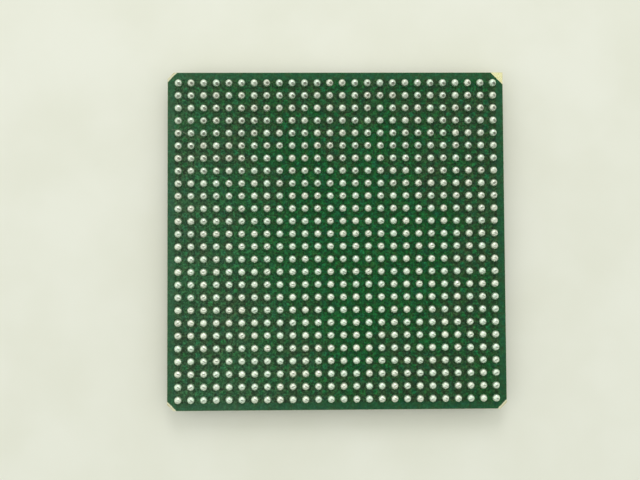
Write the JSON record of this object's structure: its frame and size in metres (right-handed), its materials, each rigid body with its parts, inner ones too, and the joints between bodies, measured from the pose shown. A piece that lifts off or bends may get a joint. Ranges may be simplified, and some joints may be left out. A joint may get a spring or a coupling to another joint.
{
  "type": "ball grid array chip",
  "caption": "Square moulded chip package lying balls up: green substrate with a full grid of solder balls on its mould cap, die and bond wires inside.",
  "frame": {"origin": "centre of the mould cap's flat face, which the part lies on", "axes": "+Z out of the ball side, square to the substrate; +X and +Y along the substrate's sides, so that the corner of ball A1 is at +X, +Y; rows A to AF run from +Y to -Y and columns 1 to 26 from +X to -X"},
  "size_m": [0.0268, 0.0268, 0.0022],
  "materials": {
    "solder": "bright reflowed solder",
    "solder_mask": "semi-gloss green solder mask",
    "laminate": "woven glass and resin, sawn edges",
    "plated_copper": "plated copper",
    "gold_plate": "pale gold plate",
    "gold_wire": "drawn gold wire",
    "silicon": "polished silicon",
    "silver_epoxy": "silver-filled epoxy",
    "mould_compound": "fine matt black mould compound"
  },
  "bodies": {
    "root": {"ball_side_mask": "solder_mask", "mould_cap": "mould_compound", "ball_side_copper": "plated_copper", "vias": "plated_copper", "a1_corner_mark": "gold_plate", "ball_side_laminate": "laminate", "power_plane": "plated_copper", "core_laminate": "laminate", "ground_plane": "plated_copper", "die_side_laminate": "laminate", "die_side_copper": "plated_copper", "mould_gate_strip": "gold_plate", "die_side_mask": "solder_mask", "die_attach": "silver_epoxy", "die": "silicon", "bond_wires_north": "gold_wire", "bond_wires_west": "gold_wire", "bond_wires_south": "gold_wire", "bond_wires_east": "gold_wire", "ball_row_a": "solder", "ball_row_b": "solder", "ball_row_c": "solder", "ball_row_d": "solder", "ball_row_e": "solder", "ball_row_f": "solder", "ball_row_g": "solder", "ball_row_h": "solder", "ball_row_j": "solder", "ball_row_k": "solder", "ball_row_l": "solder", "ball_row_m": "solder", "ball_row_n": "solder", "ball_row_p": "solder", "ball_row_r": "solder", "ball_row_t": "solder", "ball_row_u": "solder", "ball_row_v": "solder", "ball_row_w": "solder", "ball_row_y": "solder", "ball_row_aa": "solder", "ball_row_ab": "solder", "ball_row_ac": "solder", "ball_row_ad": "solder", "ball_row_ae": "solder", "ball_row_af": "solder"}
  },
  "joints": []
}
